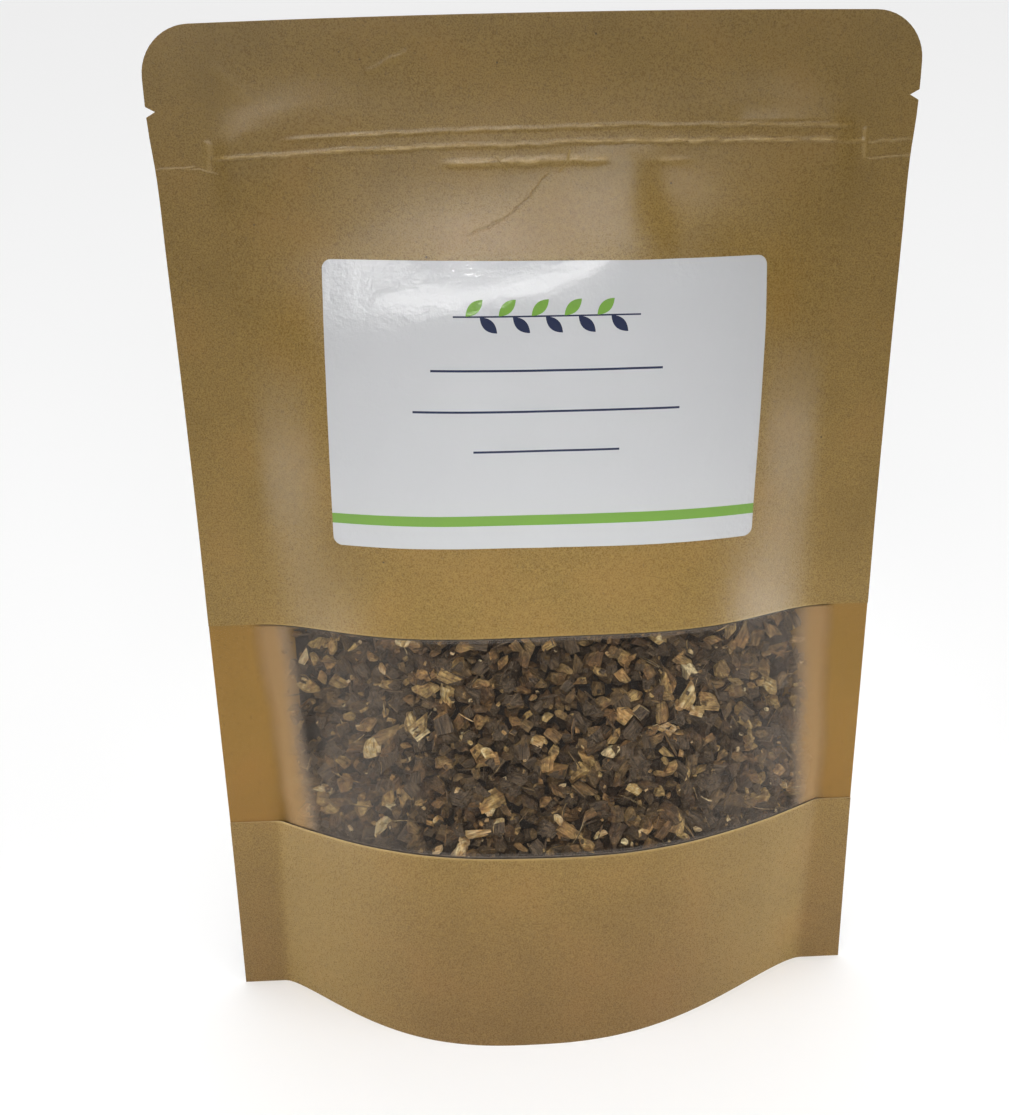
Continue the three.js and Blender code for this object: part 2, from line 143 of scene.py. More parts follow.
def mouth_swell(x, z, side):
    """Under the zipper the paper stays flat at first and then bends out along a dome."""
    away = abs(x - 20)
    arc = 0.16 * away + 0.0013 * away**2 if x < 20 else 0.35 * away + 0.0035 * away**2
    below = 208.0 - arc - z
    dome = 3.5 * ease(0, 27, below) * (1 - ease(38, 88, below)) * (1 - ease(48, 66, abs(x)))
    if side > 0:
        return dome
    # On the front one upright soft fold ends the swell on its right
    crest = 19.7 + 3.2 * (1 - ease(190, 200, z))
    fold = 0.72 * (ease(crest - 16, crest, x) if x < crest else 1 - ease(crest, crest + 8, x))
    return dome + fold * ease(181, 191, z) * (1 - ease(205, 210, z))


def bulge(x, z):
    left, right = level_value("left", z), level_value("right", z)
    reach = level_value("half", z) - (left + right) / 2
    off = x - (left - right) / 2
    off += base_shift * (1 - min(1.0, abs(off) / reach) ** 2) * (1 - ease(0, 80, z))
    u = min(1.0, abs(off) / reach)
    return max(0.0, 1 - u ** level_value("flat", z)) ** level_value("ease", z)


def outer_face(x, z, side):
    """Distance of the paper's outer face from the middle plane, in millimetres."""
    filled = level_value("depth", z) * bulge(x, z) + dents(x, z, side) + mouth_swell(x, z, side)
    lifted = zipper_lift * zipper_share(x, z)
    face = seal_face + (max(0.0, filled) ** 8 + lifted**8) ** (1 / 8)
    if abs(z - zipper_high) < 10:
        face += zipper_relief(x, z)
    return face


def deselect():
    if bpy.context.object and bpy.context.object.mode != "OBJECT":
        bpy.ops.object.mode_set(mode="OBJECT")
    bpy.ops.object.select_all(action="DESELECT")


def steps_between(low, high, step):
    count = max(1, round((high - low) / step))
    return [low + (high - low) * i / count for i in range(1, count)]


def cut_sheet(
    name, low, high, rows, half_width=flat_half_width, radius=0.0, notched=False, step=2.4
):
    """A flat upright sheet, cut to its outline and scored into a fine net of faces."""
    deselect()
    bpy.ops.mesh.primitive_plane_add(size=1, rotation=(math.pi / 2, 0, 0))
    sheet = bpy.context.object
    sheet.name = sheet.data.name = name
    sheet.scale = (2 * half_width, high - low, 1)
    sheet.location = (0, 0, (low + high) / 2)
    bpy.ops.object.transform_apply(location=True, rotation=True, scale=True)
    if radius:
        bpy.ops.object.mode_set(mode="EDIT")
        bpy.ops.mesh.select_mode(type="VERT")
        bpy.ops.mesh.select_all(action="DESELECT")
        bpy.ops.object.mode_set(mode="OBJECT")
        for vertex in sheet.data.vertices:
            vertex.select = vertex.co.z > (low + high) / 2
        bpy.ops.object.mode_set(mode="EDIT")
        bpy.ops.mesh.bevel(offset=radius, segments=12, affect="VERTICES", profile=0.5)
        bpy.ops.object.mode_set(mode="OBJECT")
    lines = [((x, 0, 0), (1, 0, 0)) for x in steps_between(-half_width, half_width, step)]
    lines += [((0, 0, z), (0, 0, 1)) for z in rows if low < z < high]
    bpy.ops.object.mode_set(mode="EDIT")
    for place, normal in lines:
        bpy.ops.mesh.select_all(action="SELECT")
        bpy.ops.mesh.bisect(plane_co=place, plane_no=normal)
    bpy.ops.object.mode_set(mode="OBJECT")
    if notched:
        for vertex in sheet.data.vertices:
            if abs(vertex.co.z - notch_height) < notch_half / 2:
                share = max(0.0, 1 - (half_width - abs(vertex.co.x)) / 4)
                vertex.co.x -= math.copysign(notch_depth * share, vertex.co.x)
    return sheet


def face_outwards(sheet, side):
    """Turns the normals of an upright sheet to the front (-1) or to the back (1)."""
    deselect()
    sheet.select_set(True)
    bpy.context.view_layer.objects.active = sheet
    bpy.ops.object.mode_set(mode="EDIT")
    bpy.ops.mesh.select_all(action="SELECT")
    bpy.ops.mesh.normals_make_consistent(inside=False)
    bpy.ops.object.mode_set(mode="OBJECT")
    if sheet.data.polygons[len(sheet.data.polygons) // 2].normal.y * side < 0:
        bpy.ops.object.mode_set(mode="EDIT")
        bpy.ops.mesh.flip_normals()
        bpy.ops.object.mode_set(mode="OBJECT")


def form_sheet(sheet, side, thickness, behind=0.0):
    """Bends a flat sheet to the filled pouch's front (-1) or back (1) and gives it a wall."""
    pressed = sheet.data.attributes.new("pressed", "FLOAT", "POINT")
    for vertex in sheet.data.vertices:
        x, z = vertex.co.x * level_value("half", vertex.co.z) / flat_half_width, vertex.co.z
        pressed.data[vertex.index].value = zipper_relief(x, z)
        droop = rim_droop * (x / flat_half_width) ** 2 * ease(190, pouch_height, z)
        vertex.co = Vector((x, side * (outer_face(x, z, side) - behind), z - droop)) * MM
    face_outwards(sheet, side)
    wall = sheet.modifiers.new("wall", "SOLIDIFY")
    wall.thickness = thickness * MM
    wall.offset = -1
    wall.material_offset = 1
    wall.material_offset_rim = 2
    bpy.ops.object.modifier_apply(modifier=wall.name)
    bpy.ops.object.shade_smooth_by_angle(angle=math.radians(40))


def feed(tree, value, socket):
    """Gives a socket its value, or joins it to the output that the value is."""
    if isinstance(value, bpy.types.NodeSocket):
        tree.links.new(value, socket)
    else:
        socket.default_value = value


def lay_node(tree, kind, sockets=None, **properties):
    """A shader node with its properties set and its sockets fed."""
    node = tree.nodes.new(kind)
    for key, value in properties.items():
        setattr(node, key, value)
    for key, value in (sockets or {}).items():
        feed(tree, value, node.inputs[key])
    return node


def new_finish(name):
    """A material with its shader and the object coordinates in metres."""
    finish = bpy.data.materials.new(name)
    finish.use_nodes = True
    tree = finish.node_tree
    place = lay_node(tree, "ShaderNodeTexCoord").outputs["Object"]
    return finish, tree, tree.nodes["Principled BSDF"], place


def sized(tree, place, size, turn=0.0):
    """Coordinates turned about the front's normal and divided by a size along each axis."""
    sockets = {"Vector": place, "Scale": size, "Rotation": (0, turn, 0)}
    return lay_node(tree, "ShaderNodeMapping", sockets, vector_type="TEXTURE").outputs[0]


def speckle(tree, place, size, detail=2.0, turn=0.0, roughness=0.5):
    """Noise with features of a given size, or of three sizes along the axes."""
    size = size if isinstance(size, tuple) else (size, size, size)
    sockets = {"Vector": sized(tree, place, size, turn), "Scale": 1.0, "Detail": detail}
    sockets["Roughness"] = roughness
    return lay_node(tree, "ShaderNodeTexNoise", sockets).outputs["Fac"]


def spread(tree, value, low, high, to_low=0.0, to_high=1.0, kind="LINEAR"):
    """The value's range from low to high, moved to a new range and held at its ends."""
    sockets = {"Value": value, "From Min": low, "From Max": high}
    sockets.update({"To Min": to_low, "To Max": to_high})
    node = lay_node(tree, "ShaderNodeMapRange", sockets, interpolation_type=kind)
    return node.outputs["Result"]


def tint(tree, share, first, second, blend="MIX"):
    """The first colour with a share of the second laid over it."""
    mix = lay_node(tree, "ShaderNodeMix", data_type="RGBA", blend_type=blend)
    for key, value in (("Factor", share), ("A", first), ("B", second)):
        feed(tree, value, mix.inputs[key])
    return mix.outputs["Result"]


def math_node(tree, operation, first, second=0.0, third=0.0):
    node = lay_node(tree, "ShaderNodeMath", operation=operation)
    for socket, value in zip(node.inputs, (first, second, third)):
        feed(tree, value, socket)
    return node.outputs[0]


def product(tree, *factors):
    """The product of two or more values, taken in their order."""
    result = factors[0]
    for factor in factors[1:]:
        result = math_node(tree, "MULTIPLY", result, factor)
    return result


def vector_node(tree, operation, first, second, output=0):
    sockets = {0: first, 1: second}
    node = lay_node(tree, "ShaderNodeVectorMath", sockets, operation=operation)
    return node.outputs[output]


def flecks(tree, place, size, turn, reach, share):
    """Sparse specks: the cells of a net of the given size that hold one, inside a reach."""
    net = sized(tree, place, size, turn)
    cells = lay_node(tree, "ShaderNodeTexVoronoi", {"Vector": net, "Scale": 1.0})
    close = spread(tree, cells.outputs["Distance"], reach, reach * 0.6)
    picked = lay_node(tree, "ShaderNodeSeparateColor", {"Color": cells.outputs["Color"]})
    rare = math_node(tree, "LESS_THAN", picked.outputs[0], share)
    return product(tree, close, rare)


def pressed_line(tree, place, start, end, width, bow=0.0, wobble=None):
    """How strongly a line from start to end (x and z, in millimetres) is pressed at a place."""
    run = Vector((end[0] - start[0], 0, end[1] - start[1]))
    side = Vector((-run.z, 0, run.x)).normalized()
    base = (Vector((start[0], 0, start[1])) + side * bow) * MM
    offset = vector_node(tree, "SUBTRACT", place, base)
    along = vector_node(tree, "DOT_PRODUCT", offset, run / run.length_squared / MM, "Value")
    across = vector_node(tree, "DOT_PRODUCT", offset, side / MM, "Value")
    middle = math_node(tree, "ABSOLUTE", math_node(tree, "SUBTRACT", along, 0.5))
    bowed = math_node(tree, "MULTIPLY_ADD", product(tree, middle, middle), 4 * bow, across)
    if wobble is not None:
        bowed = math_node(tree, "ADD", bowed, wobble)
    near = spread(tree, math_node(tree, "ABSOLUTE", bowed), width, 0.0, kind="SMOOTHSTEP")
    return product(tree, near, spread(tree, middle, 0.5, 0.36, kind="SMOOTHSTEP"))


def scaled(colour, red, green, blue):
    """A colour whose parts are each made stronger or weaker."""
    return [colour[0] * red, colour[1] * green, colour[2] * blue, 1]


def kraft_paper(name, light, dark, roughness, creases=(), gloss=0.42):
    """Brown kraft: felted fibres, soft clouds of tone, dark specks, a grainy sheen and painted
    shade at the foot; with creases, also painted highlights and shade along pressed lines.
    """
    finish, tree, shader, place = new_finish(name)
    fibres = [
        speckle(tree, place, (0.0016, 0.0004, 0.00022), 3, turn, 0.6) for turn in (0.25, 1.15, 2.2)
    ]
    felt = math_node(tree, "MAXIMUM", math_node(tree, "MAXIMUM", fibres[0], fibres[1]), fibres[2])
    grit = speckle(tree, place, 0.00034, 3, 0, 0.7)
    mixed = math_node(tree, "ADD", product(tree, felt, 0.6), product(tree, grit, 0.6))
    tone = tint(tree, spread(tree, mixed, 0.5, 0.78), dark, light)
    clouds = speckle(tree, place, 0.02, 3)
    reddish = scaled(light, 0.97, 0.86, 0.88)
    tone = tint(tree, spread(tree, clouds, 0.52, 0.7, 0, 0.35), tone, reddish)
    greenish = scaled(dark, 1.02, 1.08, 1.0)
    tone = tint(tree, spread(tree, clouds, 0.48, 0.32, 0, 0.35), tone, greenish)
    # Painted shade: towards the ground the foot is darker and redder in its middle and in the seals
    parts = lay_node(tree, "ShaderNodeSeparateXYZ", {"Vector": place})
    off_middle = math_node(tree, "ABSOLUTE", parts.outputs["X"])
    painted_foot_shade = spread(tree, parts.outputs["Z"], 0.075, 0.0, kind="SMOOTHSTEP")
    middle = spread(tree, off_middle, 0.06, 0.025, kind="SMOOTHSTEP")
    welded = spread(tree, off_middle, 0.0645, 0.068, 0, 0.9)
    painted_foot_shade = product(tree, painted_foot_shade, math_node(tree, "MAXIMUM", middle, welded))
    tone = tint(tree, painted_foot_shade, tone, [0.8, 0.74, 0.8, 1], "MULTIPLY")
    bits = flecks(tree, place, (0.0019, 0.0012, 0.0007), 0.5, 0.26, 0.16)
    for turn, length in ((1.7, 0.0026), (2.6, 0.0014)):
        more = flecks(tree, place, (length, 0.0012, 0.0007), turn, 0.25, 0.12)
        bits = math_node(tree, "MAXIMUM", bits, more)
    tone = tint(tree, product(tree, bits, 0.4), tone, scaled(dark, 0.5, 0.46, 0.4))
    specks = flecks(tree, place, (0.004, 0.004, 0.004), 0, 0.07, 0.06)
    tone = tint(tree, product(tree, specks, 0.85), tone, [0.02, 0.012, 0.006, 1])
    shader.inputs["Specular IOR Level"].default_value = gloss
    sheen = math_node(tree, "MULTIPLY_ADD", grit, 0.14, roughness - 0.07)
    tree.links.new(sheen, shader.inputs["Roughness"])
    bump = lay_node(tree, "ShaderNodeBump", {"Height": grit, "Strength": 0.38, "Distance": 0.00014})
    tree.links.new(bump.outputs[0], shader.inputs["Normal"])
    if creases:
        wobble = spread(tree, speckle(tree, place, 0.004, 3), 0.0, 1.0, -0.9, 0.9)
        relief = None
        for lift, start, end, width, bow in creases:
            line = pressed_line(tree, place, start, end, width, bow, wobble)
            line = product(tree, line, lift)
            relief = line if relief is None else math_node(tree, "ADD", relief, line)
        crease_bump = {"Height": relief, "Strength": 1.0, "Distance": 0.001}
        pressed = lay_node(tree, "ShaderNodeBump", crease_bump)
        tree.links.new(pressed.outputs[0], bump.inputs["Normal"])
        # Painted highlight: the zipper's ridges, the creases that stand up and the paper beside the
        # window's cut edges are lifted towards a paler tint.
        ridges = lay_node(tree, "ShaderNodeAttribute", attribute_name="pressed").outputs["Fac"]
        crinkle = speckle(tree, place, (0.0016, 0.001, 0.0006), 2)
        crinkle = spread(tree, crinkle, 0.35, 0.65, 0.1, 0.9)
        painted_highlight_share = math_node(tree, "MAXIMUM", relief, product(tree, ridges, crinkle))
        for edge, share in ((window_low, 0.4), (window_high, 0.14)):
            off = math_node(tree, "SUBTRACT", parts.outputs["Z"], edge * MM)
            off = math_node(tree, "ABSOLUTE", off)
            line = spread(tree, off, 0.00055, 0.0002, 0, share)
            line = product(tree, line, spread(tree, off_middle, 0.068, 0.064))
            line = product(tree, line, spread(tree, off_middle, 0.02, 0.05, 0.5, 1.0))
            painted_highlight_share = math_node(tree, "MAXIMUM", painted_highlight_share, line)
        painted_highlight_tint = scaled(light, 1.5, 1.6, 2.2)
        tone = tint(tree, spread(tree, painted_highlight_share, 0.0, 0.3, 0, 0.75), tone, painted_highlight_tint)
        # Painted shade: creases pressed in are darkened along their valley.
        painted_crease_shade = [0.055, 0.03, 0.009, 1]
        tone = tint(tree, spread(tree, relief, 0.0, -0.3, 0, 0.8), tone, painted_crease_shade)
    tree.links.new(tone, shader.inputs["Base Color"])
    return finish


window_low, window_high = (corner.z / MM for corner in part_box("window_film"))
# Creases of the front: lift, start, end, width and bow, in millimetres
front_creases = [
    (0.12, (-68.5, 204.6), (-68.0, 211.8), 1.0, 0.0),
    (0.14, (69.6, 204.4), (69.2, 211.4), 0.9, 0.0),
    (0.1, (-80.5, 205.8), (-70.6, 206.3), 0.35, 0.0),
    (0.07, (-74.0, 205.9), (-66.0, 204.6), 0.35, 0.3),
    (0.14, (81.0, 205.2), (69.5, 204.7), 0.4, 0.0),
    (0.14, (80.0, 208.3), (69.5, 208.0), 0.4, 0.0),
    (-0.075, (3.2, 205.0), (-16.8, 191.2), 0.45, 2.6),
    (0.12, (7.0, 208.5), (4.5, 203.5), 0.35, 0.5),
    (0.12, (-8.5, 207.5), (-6.5, 203.8), 0.3, 0.2),
    (0.03, (-67.0, 226.5), (-58.5, 218.5), 2.4, 0.5),
    (0.05, (-35.0, 223.5), (-25.5, 228.5), 1.0, 0.3),
]
light_kraft, dark_kraft = [0.278, 0.181, 0.049, 1], [0.15, 0.088, 0.023, 1]
back_kraft = kraft_paper("back_kraft", light_kraft, dark_kraft, 0.28)
front_kraft = kraft_paper("front_kraft", light_kraft, dark_kraft, 0.28, front_creases)
light_inner, dark_inner = [0.27, 0.154, 0.038, 1], [0.2, 0.112, 0.027, 1]
inner_kraft = kraft_paper("inner_kraft", light_inner, dark_inner, 0.4, gloss=0.15)
cut_kraft = kraft_paper("cut_kraft", [0.62, 0.49, 0.30, 1], [0.50, 0.38, 0.22, 1], 0.5)

zipper_rows = steps_between(zipper_low - 0.5, zipper_high, 0.33)
notch_rows = [notch_height - notch_half, notch_height, notch_height + notch_half]
full_rows = steps_between(0, zipper_low - 1, 2.4) + zipper_rows
full_rows += notch_rows + steps_between(notch_height + 2, pouch_height, 2.4)

back = cut_sheet("back_panel", 0, pouch_height, full_rows, radius=corner_radius, notched=True)
for finish in (back_kraft, inner_kraft, cut_kraft):
    back.data.materials.append(finish)
form_sheet(back, 1, paper_thickness + film_thickness)
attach(back, "root")
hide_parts("pouch_back")


# ---- Front panel ----
# The front is the same laminate, but its paper stops above and below a band that is left clear.
# Both cut edges show as thin pale lines, beside which the face carries a painted highlight. The
# zipper's profile is pressed through the upper part, and its ridges carry a painted highlight.
fine_step = 1.3
front_upper = cut_sheet(
    "front_panel_upper",
    window_high,
    pouch_height,
    full_rows,
    radius=corner_radius,
    notched=True,
    step=fine_step,
)
front_lower = cut_sheet("front_panel_lower", 0, window_low, full_rows, step=fine_step)
for panel, node_name in ((front_upper, "pouch_front_upper"), (front_lower, "pouch_front_lower")):
    for finish in (front_kraft, inner_kraft, cut_kraft):
        panel.data.materials.append(finish)
    form_sheet(panel, -1, paper_thickness)
    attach(panel, "root")
    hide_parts(node_name)


# ---- Window film ----
# Clear polyester film, under 0.1 mm thick, lines the whole front and shows only in the window. It
# is glossy, and faintly milky where it stands off the contents, towards both sides.
film_overlap = 3.0


def clear_film(name):
    finish, tree, shader, place = new_finish(name)
    parts = lay_node(tree, "ShaderNodeSeparateXYZ", {"Vector": place})
    x, z = parts.outputs["X"], parts.outputs["Z"]
    from_left = math_node(tree, "ADD", math_node(tree, "MULTIPLY_ADD", z, 0.074, 0.0589), x)
    from_right = math_node(tree, "SUBTRACT", math_node(tree, "MULTIPLY_ADD", z, -0.022, 0.0703), x)
    inside = math_node(tree, "MINIMUM", from_left, from_right)
    drift = speckle(tree, place, 0.024, 2)
    haze = spread(tree, inside, 0.05, 0.012, kind="SMOOTHSTEP")
    haze = product(tree, haze, spread(tree, drift, 0.35, 0.65, 0.02, 0.09))
    # Near the seals the film turns cloudy, and its orange veil there also paints light over the
    # shade in the narrow gap behind it.
    cloudy_and_lit = math_node(tree, "SUBTRACT", inside, product(tree, drift, 0.004))
    cloudy_and_lit = spread(tree, cloudy_and_lit, 0.0075, 0.0005, 0.0, 0.5, kind="SMOOTHSTEP")
    # Along both cut edges of the paper run a dark line, a painted shadow of the paper's edge, and,
    # further in, a pale one
    below_top = math_node(tree, "SUBTRACT", window_high * MM, z)
    above_bottom = math_node(tree, "SUBTRACT", z, window_low * MM)
    edge = math_node(tree, "MINIMUM", below_top, above_bottom)
    painted_edge_shadow = product(tree, spread(tree, edge, 0.0007, 0.0002), 0.7)
    off_line = math_node(tree, "ABSOLUTE", math_node(tree, "SUBTRACT", edge, 0.001))
    pale_line = product(tree, spread(tree, off_line, 0.00025, 0.0), 0.12)
    alpha = haze
    for layer in (painted_edge_shadow, pale_line, cloudy_and_lit):
        alpha = math_node(tree, "MAXIMUM", alpha, layer)
    # In the seals the film is fused to the paper behind it, so nothing clouds it there
    fused = math_node(tree, "MULTIPLY_ADD", drift, 0.005, inside)
    fused = spread(tree, fused, 0.0, 0.0045, kind="SMOOTHSTEP")
    alpha = math_node(tree, "MULTIPLY_ADD", alpha, fused, 0.012)
    hazy, milky = [0.36, 0.31, 0.265, 1], [0.40, 0.25, 0.115, 1]
    colour = tint(tree, product(tree, cloudy_and_lit, 2.0), hazy, milky)
    colour = tint(tree, product(tree, painted_edge_shadow, 1.4), colour, [0.025, 0.016, 0.008, 1])
    tree.links.new(colour, shader.inputs["Base Color"])
    shader.inputs["Specular IOR Level"].default_value = 0.08
    tree.links.new(alpha, shader.inputs["Alpha"])
    shader.inputs["Roughness"].default_value = 0.12
    return finish


film_low, film_high = window_low - film_overlap, window_high + film_overlap
film_rows = steps_between(film_low, film_high, 2.6)
film_half_width = flat_half_width - 0.3
film = cut_sheet("clear_window", film_low, film_high, film_rows, film_half_width, step=fine_step)
form_sheet(film, -1, film_thickness, behind=paper_thickness + 0.02)
film.data.materials.append(clear_film("clear_film"))
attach(film, "root")
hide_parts("window_film")


# ---- Bottom gusset ----
# One more sheet of the laminate, folded in half and welded to both panels along a curve. The
# filling opens it into the floor, whose fold climbs towards the side seals.
gusset_half_length = 65.0
gusset_flat_half = 25.0
fold_height, fold_power = 38.0, 1.7  # how high the fold climbs at its ends, and how suddenly
skirt_height, end_skirt = 4.0, 1.2
gusset_inset = 0.5
leg_share = 0.3  # the part of the sheet's half width that hangs down as the skirt


def gusset_point(along, across):
    """A point of the gusset's sheet: along its length, and across it from leg to leg."""
    x = along * gusset_half_length
    climb = max(0.0, (abs(x) - gusset_flat_half) / (gusset_half_length - gusset_flat_half))
    fold = fold_height * climb**fold_power
    seal = fold + skirt_height + (end_skirt - skirt_height) * climb
    side = math.copysign(1, across)
    if abs(across) > 1 - leg_share:
        z = seal * (1 - abs(across)) / leg_share
        return Vector((x, side * (outer_face(x, z, side) - gusset_inset), z))
    t = abs(across) / (1 - leg_share)
    z = fold + (seal - fold) * ease(0.36, 1.0, t) + 0.15
    return Vector((x, side * t * (outer_face(x, seal, side) - gusset_inset), z))


deselect()
bpy.ops.mesh.primitive_grid_add(x_subdivisions=96, y_subdivisions=60, size=2)
gusset = bpy.context.object
gusset.name = gusset.data.name = "folded_gusset"
for vertex in gusset.data.vertices:
    vertex.co = gusset_point(vertex.co.x, vertex.co.y) * MM
gusset_wall = gusset.modifiers.new("wall", "SOLIDIFY")
gusset_wall.thickness = paper_thickness * MM
gusset_wall.offset = 1
bpy.ops.object.modifier_apply(modifier=gusset_wall.name)
bpy.ops.object.shade_smooth_by_angle(angle=math.radians(40))
gusset.data.materials.append(back_kraft)
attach(gusset, "root")
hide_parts("bottom_gusset")


# ---- Zipper ----
# Two extruded polyethylene strips, one with a rib and one with a groove, are welded inside the
# front and the back and pressed together. Only their milky edges can be seen, down the mouth.
strip_middle, strip_thickness, strip_margin = 0.72, 0.22, 1.2
rib_height, rib_rounding = 0.5, 0.06


def milky_plastic(name):
    finish, tree, shader, place = new_finish(name)
    streaks = speckle(tree, place, (0.04, 0.004, 0.0013), 2)
    tone = tint(tree, streaks, [0.62, 0.6, 0.53, 1], [0.74, 0.72, 0.66, 1])
    tree.links.new(tone, shader.inputs["Base Color"])
    shader.inputs["Roughness"].default_value = 0.32
    shader.inputs["Subsurface Weight"].default_value = 0.2
    shader.inputs["Subsurface Radius"].default_value = (0.002, 0.0018, 0.0014)
    return finish


def zipper_strip(name, side, ribs):
    """A flat strip behind one panel, with ribs drawn out of its face towards the other strip."""
    deselect()
    middle = (0, side * strip_middle, (zipper_low + zipper_high) / 2)
    bpy.ops.mesh.primitive_cube_add(size=1, location=middle)
    strip = bpy.context.object
    strip.name = strip.data.name = name
    strip_height = zipper_high - zipper_low - strip_margin
    strip.scale = (2 * zipper_half_length, strip_thickness, strip_height)
    bpy.ops.object.transform_apply(location=True, rotation=True, scale=True)
    for low, high in ribs:
        bpy.ops.object.mode_set(mode="EDIT")
        for z in (low, high):
            bpy.ops.mesh.select_all(action="SELECT")
            bpy.ops.mesh.bisect(plane_co=(0, 0, z), plane_no=(0, 0, 1))
        bpy.ops.mesh.select_mode(type="FACE")
        bpy.ops.mesh.select_all(action="DESELECT")
        bpy.ops.object.mode_set(mode="OBJECT")
        for face in strip.data.polygons:
            face.select = face.normal.y * side < -0.9 and low < face.center.z < high
        bpy.ops.object.mode_set(mode="EDIT")
        drawn_out = {"value": (0, -side * rib_height, 0)}
        bpy.ops.mesh.extrude_region_move(TRANSFORM_OT_translate=drawn_out)
        bpy.ops.object.mode_set(mode="OBJECT")
    strip.data.transform(Matrix.Scale(MM, 4))
    rounding = strip.modifiers.new("rounding", "BEVEL")
    rounding.width = rib_rounding * MM
    bpy.ops.object.modifier_apply(modifier=rounding.name)
    return strip


zipper_plastic = milky_plastic("zipper_plastic")
rib_strip = zipper_strip("zipper_rib_strip", -1, [(209.3, 210.1)])
groove_strip = zipper_strip("zipper_groove_strip", 1, [(208.4, 209.0), (210.4, 211.0)])
for strip, node_name in ((rib_strip, "zipper_rib"), (groove_strip, "zipper_groove")):
    strip.data.materials.append(zipper_plastic)
    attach(strip, "root")
    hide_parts(node_name)


# ---- Contents: the heap's core ----
# Behind the chips that can be told apart, the filling lies in shade. One rough body stands for it,
# from the gusset up to the heap's top, its root tones darkened to a very dark brown as painted
# shade.
heap_half_length = 58.0
heap_top, heap_top_ends = 112.0, 100.0
core_floor_gap, core_top_gap, core_space = 1.5, 2.0, 6.0


def inner_face(x, z, side):
    return outer_face(x, z, side) - paper_thickness - film_thickness


def heap_height(x):
    return heap_top - (heap_top - heap_top_ends) * (x / heap_half_length) ** 2


def core_point(along, across, up):
    x = along * heap_half_length
    side = math.copysign(1, across)
    climb = max(0.0, (abs(x) - gusset_flat_half) / (gusset_half_length - gusset_flat_half))
    floor = fold_height * climb**fold_power + skirt_height + core_floor_gap
    z = floor + (heap_height(x) - core_top_gap - floor) * (up + 1) / 2
    reach = max(0.4, inner_face(x, z, side) - core_space)
    lump = 0.8 * noise.noise(Vector((x, z, 10 * across)) / 5)
    return Vector((x, across * max(0.3, reach + min(0, lump)), z))


def dried_root(name, painted_shade_scale=1.0):
    """Dried root: dark wrinkled bark, and cut faces from brown over tan to cream with grain."""
    finish, tree, shader, place = new_finish(name)
    grain_place = lay_node(tree, "ShaderNodeAttribute", attribute_name="grain").outputs["Vector"]
    tone = lay_node(tree, "ShaderNodeAttribute", attribute_name="tone").outputs["Fac"]
    skin = lay_node(tree, "ShaderNodeAttribute", attribute_name="skin").outputs["Fac"]
    stripes = speckle(tree, grain_place, (2.6, 0.34, 0.34), 3)
    mottle = speckle(tree, place, 0.0012, 4)
    shifted = math_node(tree, "ADD", tone, spread(tree, mottle, 0.3, 0.7, -0.16, 0.16))
    faces = lay_node(tree, "ShaderNodeValToRGB", {"Fac": shifted})
    ramp = faces.color_ramp
    wood_tones = [
        (0.0, (0.022, 0.013, 0.006)),
        (0.3, (0.075, 0.0445, 0.017)),
        (0.6, (0.208, 0.128, 0.047)),
        (0.82, (0.42, 0.279, 0.096)),
        (1.0, (0.63, 0.51, 0.28)),
    ]
    while len(ramp.elements) < len(wood_tones):
        ramp.elements.new(0.5)
    for element, (stop, colour) in zip(ramp.elements, wood_tones):
        element.position = stop
        # A factor below 1 darkens all the tones as painted shade.
        element.color = [part * painted_shade_scale for part in colour] + [1]
    grain = spread(tree, stripes, 0.36, 0.6, 0.45, 1.0)
    cut = tint(tree, grain, [0.012, 0.007, 0.004, 1], faces.outputs[0])
    reddened = spread(tree, speckle(tree, place, 0.005, 1), 0.45, 0.6)
    cut = tint(tree, reddened, cut, [0.96, 0.83, 0.79, 1], "MULTIPLY")
    wrinkles = spread(tree, stripes, 0.35, 0.65)
    bark = tint(tree, wrinkles, [0.018, 0.012, 0.007, 1], [0.098, 0.064, 0.034, 1])
    tree.links.new(tint(tree, skin, cut, bark), shader.inputs["Base Color"])
    shader.inputs["Roughness"].default_value = 0.62
    shader.inputs["Specular IOR Level"].default_value = 0.25
    height = math_node(tree, "ADD", stripes, mottle)
    bump = lay_node(tree, "ShaderNodeBump", {"Height": height, "Strength": 1.0, "Distance": 0.0006})
    tree.links.new(bump.outputs[0], shader.inputs["Normal"])
    return finish


root_wood = dried_root("root_wood")


def mark_faces(piece, skin_share):
    """Notes which faces are bark, the piece's tone, and its grain coordinates.

    A face is bark where its normal points up by more than skin_share, so 2 leaves none.
    """
    mesh = piece.data
    grain = mesh.attributes.new("grain", "FLOAT_VECTOR", "POINT")
    for vertex in mesh.vertices:
        grain.data[vertex.index].vector = vertex.co
    skin = mesh.attributes.new("skin", "FLOAT", "FACE")
    mesh.attributes.new("tone", "FLOAT", "FACE")
    for face in mesh.polygons:
        skin.data[face.index].value = 1.0 if face.normal.z > skin_share else 0.0


deselect()
bpy.ops.mesh.primitive_cube_add(size=2)
core = bpy.context.object
core.name = core.data.name = "heap_core"
bpy.ops.object.mode_set(mode="EDIT")
bpy.ops.mesh.subdivide(number_cuts=40)
bpy.ops.object.mode_set(mode="OBJECT")
for vertex in core.data.vertices:
    vertex.co = core_point(*vertex.co) * MM
mark_faces(core, 2.0)
core.data.materials.append(dried_root("root_in_painted_shade", 0.12))
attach(core, "root")
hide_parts("cut_root")


